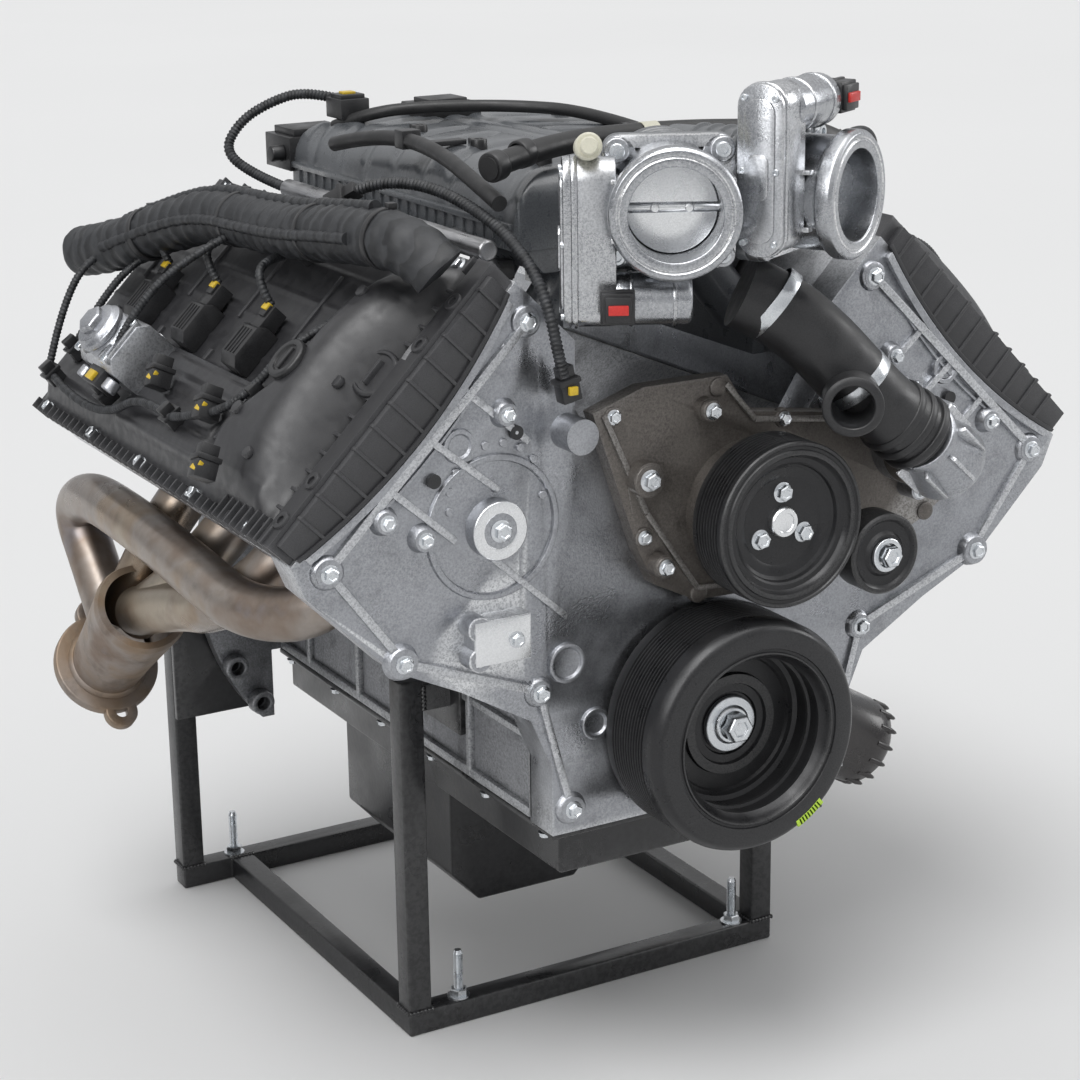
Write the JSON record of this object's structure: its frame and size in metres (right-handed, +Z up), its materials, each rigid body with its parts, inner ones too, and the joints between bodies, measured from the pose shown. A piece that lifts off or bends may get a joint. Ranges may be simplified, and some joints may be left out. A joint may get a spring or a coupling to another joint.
{
  "type": "v8 engine on shipping stand",
  "caption": "Complete V8 petrol engine with front drive pulleys, twin throttle bodies, headers and wiring, bolted to a welded square-tube shipping stand.",
  "frame": {"origin": "centre of the crankshaft flange's rear face, on the crankshaft's axis", "axes": "+Y along the crankshaft towards the rear (the front of the engine faces -Y), +Z up, +X to the right of somebody who faces the front"},
  "size_m": [0.7132, 0.6507, 0.782],
  "materials": {
    "cast_aluminium": "as cast, fine grain",
    "pump_casting": "as cast, dull dark grey",
    "machined_aluminium": "turned and milled, bright",
    "black_steel": "semi-gloss black paint",
    "bracket_steel": "satin black paint",
    "zinc_steel": "zinc plated",
    "damper_black": "satin black coat",
    "forged_steel": "ground and oiled steel",
    "cast_iron": "machined cast iron",
    "plate_steel": "plain steel",
    "stainless_header": "heat-tinted stainless",
    "cover_plastic": "fine texture, charcoal",
    "intake_plastic": "satin dark grey",
    "hose_rubber": "matt black rubber",
    "loom_tape": "cloth tape, charcoal",
    "filter_black": "semi-gloss black can"
  },
  "bodies": {
    "engine": {"breather_hose": "hose_rubber", "cam_cover_bank_1": "cover_plastic", "cam_cover_bank_2": "cover_plastic", "cam_followers": "forged_steel", "camshaft_bearing_caps": "machined_aluminium", "chain_guides": "cover_plastic", "connecting_rods": "forged_steel", "coolant_elbow": "hose_rubber", "cover_bolts": "zinc_steel", "crankshaft_seals": "hose_rubber", "cylinder_block": "cast_aluminium", "cylinder_head_bank_1": "cast_aluminium", "cylinder_head_bank_2": "cast_aluminium", "exhaust_header_bank_1": "stainless_header", "exhaust_header_bank_2": "stainless_header", "fuel_rails": "plate_steel", "head_and_exhaust_gaskets": "plate_steel", "high_pressure_pump": "plate_steel", "idler_bolt": "zinc_steel", "ignition_coils": "cover_plastic", "intake_manifold": "intake_plastic", "main_bearing_caps": "cast_iron", "main_bearing_shells": "machined_aluminium", "oil_filter": "filter_black", "oil_filter_adapter": "cast_aluminium", "oil_pan": "black_steel", "oil_pickup_pipe": "plate_steel", "oil_pump_housing": "cast_iron", "piston_pins": "forged_steel", "pistons": "machined_aluminium", "spark_plugs": "plate_steel", "stand_base_frame": "black_steel", "stand_brackets": "bracket_steel", "stand_front_posts": "black_steel", "stand_rear_posts": "black_steel", "stand_studs": "zinc_steel", "throttle_body_left": "machined_aluminium", "throttle_body_right": "machined_aluminium", "timing_chains": "forged_steel", "timing_cover": "cast_aluminium", "valve_springs": "forged_steel", "valves": "forged_steel", "vapour_pipe": "hose_rubber", "water_pump_housing": "pump_casting", "wiring_branches": "loom_tape", "wiring_loom": "loom_tape"},
    "crank": {"crankshaft": "forged_steel", "crank_sprocket": "forged_steel", "crankshaft_damper": "damper_black", "crankshaft_bolt": "zinc_steel", "oil_pump_rotor": "forged_steel"},
    "intake_cam_1": {"intake_camshaft_bank_1": "forged_steel"},
    "exhaust_cam_1": {"exhaust_camshaft_bank_1": "forged_steel"},
    "intake_cam_2": {"intake_camshaft_bank_2": "forged_steel"},
    "exhaust_cam_2": {"exhaust_camshaft_bank_2": "forged_steel"},
    "water_pump_rotor": {"water_pump_pulley": "damper_black", "water_pump_shaft": "forged_steel"},
    "idler": {"idler_pulley": "damper_black"},
    "throttle_left": {"throttle_plate_left": "plate_steel"},
    "throttle_right": {"throttle_plate_right": "plate_steel"}
  },
  "joints": [
    {"name": "crank_spin", "type": "hinge", "parent": "engine", "child": "crank", "pos_m": [0, -0.25, 0], "axis": [0, 1, 0], "continuous": true, "deforming": ["connecting_rods"]},
    {"name": "intake_cam_1_spin", "type": "hinge", "parent": "engine", "child": "intake_cam_1", "pos_m": [-0.19799, -0.25, 0.27153], "axis": [0, 1, 0], "continuous": true},
    {"name": "exhaust_cam_1_spin", "type": "hinge", "parent": "engine", "child": "exhaust_cam_1", "pos_m": [-0.2687, -0.25, 0.20082], "axis": [0, 1, 0], "continuous": true},
    {"name": "intake_cam_2_spin", "type": "hinge", "parent": "engine", "child": "intake_cam_2", "pos_m": [0.19799, -0.25, 0.27153], "axis": [0, 1, 0], "continuous": true},
    {"name": "exhaust_cam_2_spin", "type": "hinge", "parent": "engine", "child": "exhaust_cam_2", "pos_m": [0.2687, -0.25, 0.20082], "axis": [0, 1, 0], "continuous": true},
    {"name": "water_pump_spin", "type": "hinge", "parent": "engine", "child": "water_pump_rotor", "pos_m": [0.027, -0.55, 0.16], "axis": [0, 1, 0], "continuous": true},
    {"name": "idler_spin", "type": "hinge", "parent": "engine", "child": "idler", "pos_m": [0.1145, -0.57, 0.123], "axis": [0, 1, 0], "continuous": true},
    {"name": "throttle_left_turn", "type": "hinge", "parent": "engine", "child": "throttle_left", "pos_m": [-0.05946, -0.55895, 0.396], "axis": [0.8829, -0.4695, 0], "range_deg": [0, 80], "stiffness_Nm_per_rad": 0.02, "springref_deg": -2.86},
    {"name": "throttle_right_turn", "type": "hinge", "parent": "engine", "child": "throttle_right", "pos_m": [0.05946, -0.55895, 0.396], "axis": [0.8829, 0.4695, 0], "range_deg": [0, 80], "stiffness_Nm_per_rad": 0.02, "springref_deg": -2.86}
  ],
  "couplings": [
    {"joint": "intake_cam_1_spin", "follows": "crank_spin", "ratio": 0.5},
    {"joint": "exhaust_cam_1_spin", "follows": "crank_spin", "ratio": 0.5},
    {"joint": "intake_cam_2_spin", "follows": "crank_spin", "ratio": 0.5},
    {"joint": "exhaust_cam_2_spin", "follows": "crank_spin", "ratio": 0.5}
  ]
}
